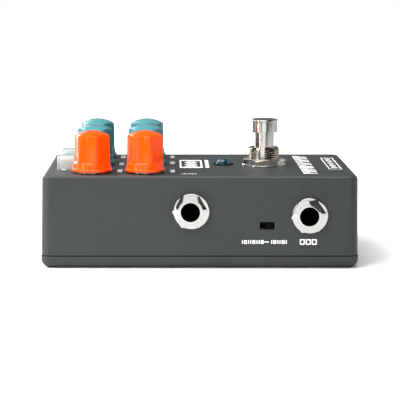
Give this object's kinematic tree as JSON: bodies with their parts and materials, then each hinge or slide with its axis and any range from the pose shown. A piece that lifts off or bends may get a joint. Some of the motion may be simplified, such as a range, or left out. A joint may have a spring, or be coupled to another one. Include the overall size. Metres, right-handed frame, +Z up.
{
  "type": "effects pedal",
  "caption": "Compact effects pedal: drafted die-cast box on a screwed base plate, with rotary knobs, translucent push buttons, a lamp, a sprung footswitch, a slide switch and plug sockets.",
  "frame": {"origin": "centre of the footprint, on the surface that the pedal stands on", "axes": "+X along the box towards the footswitch end, +Y towards the side with the input and power sockets, +Z up"},
  "size_m": [0.1124, 0.0658, 0.0499],
  "materials": {
    "box_paint": "fine-textured powder coat, satin dark grey-green",
    "orange_plastic": "glossy moulded orange",
    "teal_plastic": "glossy moulded teal",
    "nickel": "bright nickel plate",
    "black_steel": "black-oxide steel",
    "pot_green": "moulded green housing",
    "phenolic": "brown phenolic wafer",
    "tin": "tinned leads",
    "board_green": "green solder mask",
    "brass": "plain brass",
    "zinc": "zinc-plated steel",
    "black_nylon": "black nylon",
    "black_plastic": "black moulded plastic",
    "lamp_teal": "clear-tinted teal lens, unlit",
    "blue_plastic": "blue moulded switch body",
    "clear_plastic": "translucent clear plastic, frosted",
    "chip_black": "moulded chip package",
    "can_aluminium": "bare aluminium can"
  },
  "bodies": {
    "root": {"enclosure": "box_paint", "base_plate": "box_paint", "base_screws": "black_steel", "pot_housings": "pot_green", "pot_bushings": "nickel", "pot_wafers": "phenolic", "pot_terminals": "tin", "pot_washers": "nickel", "pot_nuts": "nickel", "control_board": "board_green", "main_board": "board_green", "board_standoffs": "brass", "board_screws": "zinc", "header_socket": "black_nylon", "pin_header": "brass", "lamp": "lamp_teal", "lamp_bezel": "black_plastic", "lamp_leads": "tin", "footswitch_housing": "blue_plastic", "footswitch_bushing": "nickel", "footswitch_washer": "nickel", "footswitch_nut": "nickel", "footswitch_spring": "zinc", "footswitch_contact": "black_nylon", "footswitch_terminals": "tin", "tact_switches": "zinc", "slide_switch_housing": "zinc", "slide_switch_terminals": "tin", "output_jack_housing": "black_nylon", "control_jack_housing": "black_nylon", "input_jack_housing": "black_nylon", "output_jack_bushing": "nickel", "control_jack_bushing": "nickel", "input_jack_bushing": "nickel", "jack_washers": "nickel", "jack_nuts": "nickel", "jack_contacts": "brass", "power_socket_housing": "black_plastic", "power_socket_contacts": "tin", "chips": "chip_black", "capacitors": "can_aluminium"},
    "front_left_control": {"knob_front_left": "orange_plastic", "pot_shaft_front_left": "nickel"},
    "front_right_control": {"knob_front_right": "orange_plastic", "pot_shaft_front_right": "nickel"},
    "middle_left_control": {"knob_middle_left": "teal_plastic", "pot_shaft_middle_left": "nickel"},
    "middle_right_control": {"knob_middle_right": "teal_plastic", "pot_shaft_middle_right": "nickel"},
    "rear_left_control": {"knob_rear_left": "teal_plastic", "pot_shaft_rear_left": "nickel"},
    "rear_right_control": {"knob_rear_right": "teal_plastic", "pot_shaft_rear_right": "nickel"},
    "footswitch_button": {"footswitch_plunger": "nickel"},
    "front_button": {"button_cap_front": "clear_plastic", "tact_plunger_front": "black_plastic"},
    "rear_button": {"button_cap_rear": "clear_plastic", "tact_plunger_rear": "black_plastic"},
    "slide_tab": {"slide_switch_actuator": "black_plastic"}
  },
  "joints": [
    {"name": "front_left_turn", "type": "hinge", "parent": "root", "child": "front_left_control", "pos_m": [-0.03825, -0.02, 0.033], "axis": [0, 0, 1], "range_deg": [-150, 150]},
    {"name": "front_right_turn", "type": "hinge", "parent": "root", "child": "front_right_control", "pos_m": [-0.0194, -0.02, 0.033], "axis": [0, 0, 1], "range_deg": [-150, 150]},
    {"name": "middle_left_turn", "type": "hinge", "parent": "root", "child": "middle_left_control", "pos_m": [-0.03825, 0, 0.033], "axis": [0, 0, 1], "range_deg": [-150, 150]},
    {"name": "middle_right_turn", "type": "hinge", "parent": "root", "child": "middle_right_control", "pos_m": [-0.0194, 0, 0.033], "axis": [0, 0, 1], "range_deg": [-150, 150]},
    {"name": "rear_left_turn", "type": "hinge", "parent": "root", "child": "rear_left_control", "pos_m": [-0.03825, 0.02, 0.033], "axis": [0, 0, 1], "range_deg": [-150, 150]},
    {"name": "rear_right_turn", "type": "hinge", "parent": "root", "child": "rear_right_control", "pos_m": [-0.0194, 0.02, 0.033], "axis": [0, 0, 1], "range_deg": [-150, 150]},
    {"name": "footswitch_press", "type": "slide", "parent": "root", "child": "footswitch_button", "axis": [0, 0, -1], "range_m": [0, 0.0025], "stiffness_N_per_m": 900, "springref_m": -0.004, "deforming": ["footswitch_spring"]},
    {"name": "front_button_press", "type": "slide", "parent": "root", "child": "front_button", "axis": [0, 0, -1], "range_m": [0, 0.0005], "stiffness_N_per_m": 1500, "springref_m": -0.0008},
    {"name": "rear_button_press", "type": "slide", "parent": "root", "child": "rear_button", "axis": [0, 0, -1], "range_m": [0, 0.0005], "stiffness_N_per_m": 1500, "springref_m": -0.0008},
    {"name": "slide_switch_throw", "type": "slide", "parent": "root", "child": "slide_tab", "axis": [1, 0, 0], "range_m": [-0.0017, 0]}
  ]
}
